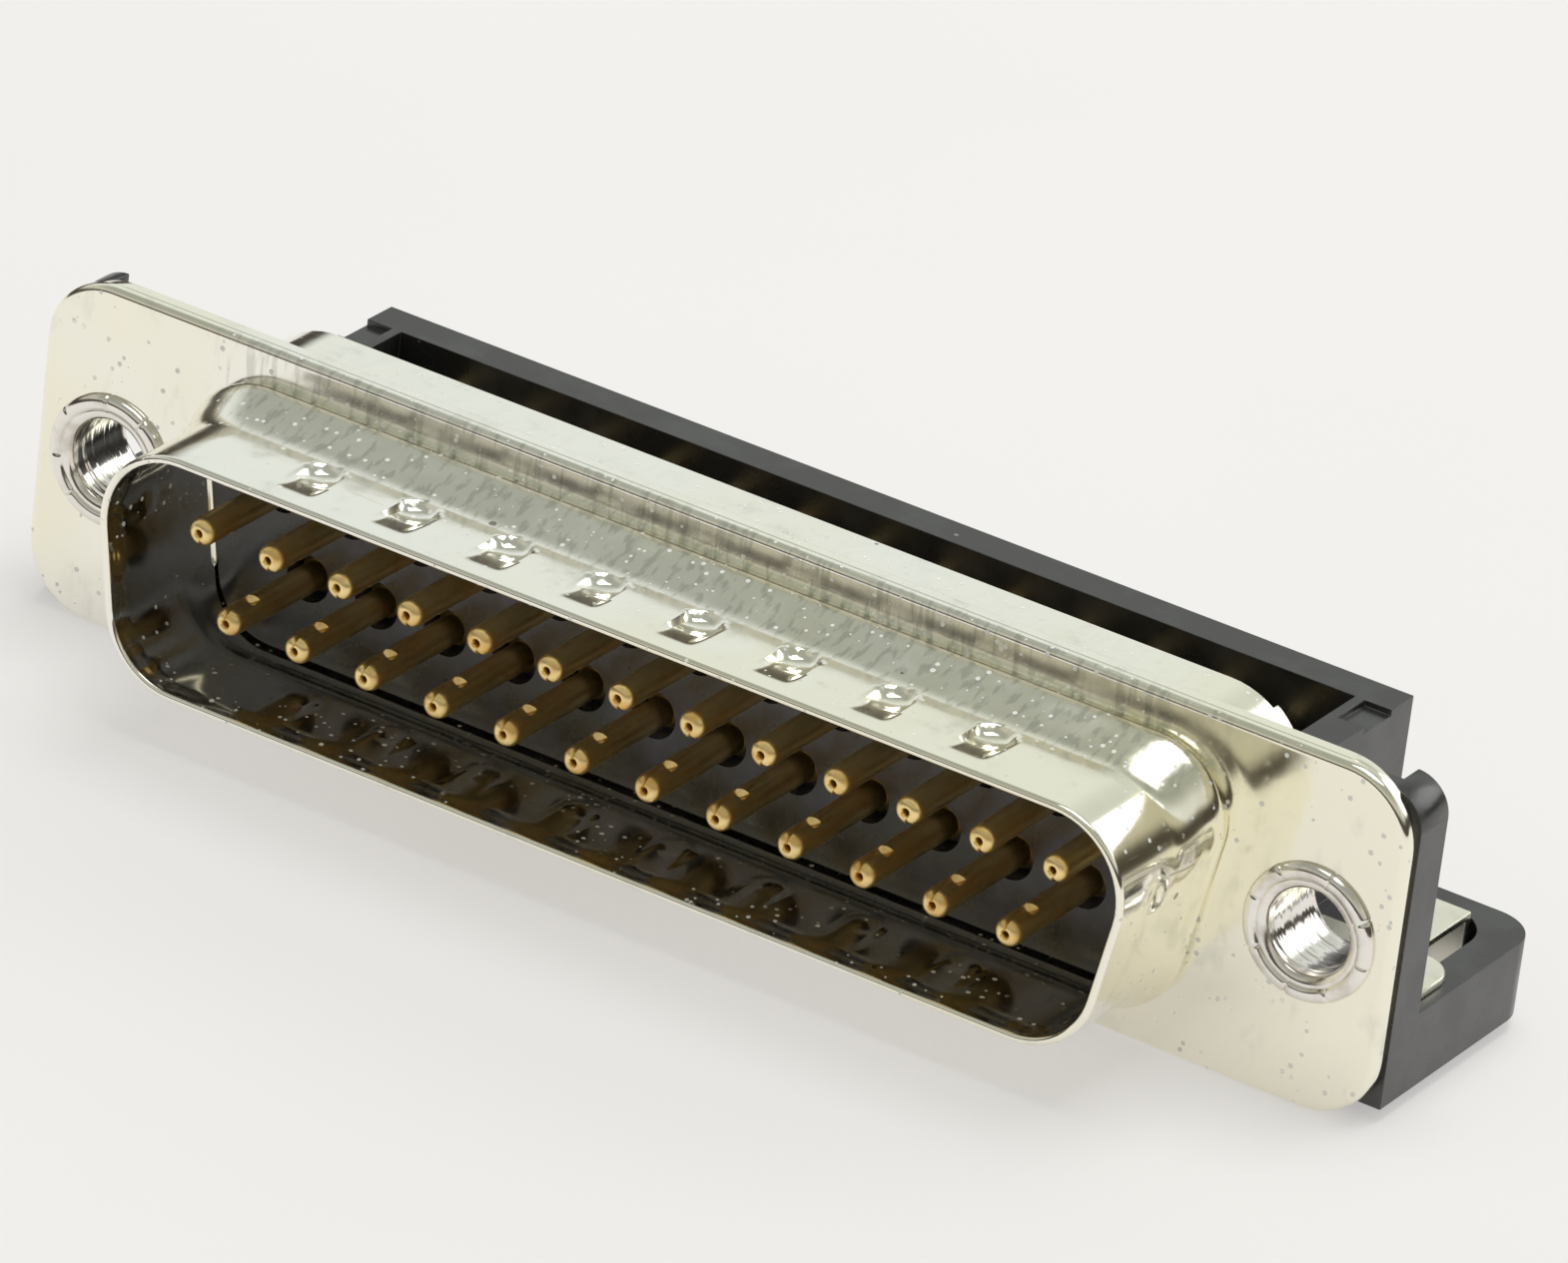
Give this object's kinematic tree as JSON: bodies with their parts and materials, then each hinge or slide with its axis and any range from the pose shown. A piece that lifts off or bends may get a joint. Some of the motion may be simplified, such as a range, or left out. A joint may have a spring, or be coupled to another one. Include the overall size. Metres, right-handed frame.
{
  "type": "d-sub connector",
  "caption": "Right-angle D-sub plug connector: two rows of gold pins in a stamped metal shell with a drilled flange, on a black circuit board bracket with solder tails.",
  "frame": {"origin": "midway between the two flange holes, on the flange's front face", "axes": "+X along the connector, -Y out of the mating face, +Z away from the circuit board"},
  "size_m": [0.0532, 0.0173, 0.0149],
  "materials": {
    "shell_plate": "bright tin plate on steel",
    "eyelet_plate": "bright plated brass",
    "strap_plate": "dull tin plate",
    "gold": "polished gold plate",
    "insulator_plastic": "smooth black",
    "bracket_plastic": "satin black"
  },
  "bodies": {
    "root": {"front_shell": "shell_plate", "rear_shell": "shell_plate", "front_insulator": "insulator_plastic", "rear_insulator": "insulator_plastic", "bracket": "bracket_plastic", "eyelet_left": "eyelet_plate", "eyelet_right": "eyelet_plate", "ground_strap_left": "strap_plate", "ground_strap_right": "strap_plate", "contact_01": "gold", "contact_02": "gold", "contact_03": "gold", "contact_04": "gold", "contact_05": "gold", "contact_06": "gold", "contact_07": "gold", "contact_08": "gold", "contact_09": "gold", "contact_10": "gold", "contact_11": "gold", "contact_12": "gold", "contact_13": "gold", "contact_14": "gold", "contact_15": "gold", "contact_16": "gold", "contact_17": "gold", "contact_18": "gold", "contact_19": "gold", "contact_20": "gold", "contact_21": "gold", "contact_22": "gold", "contact_23": "gold", "contact_24": "gold", "contact_25": "gold"}
  },
  "joints": []
}
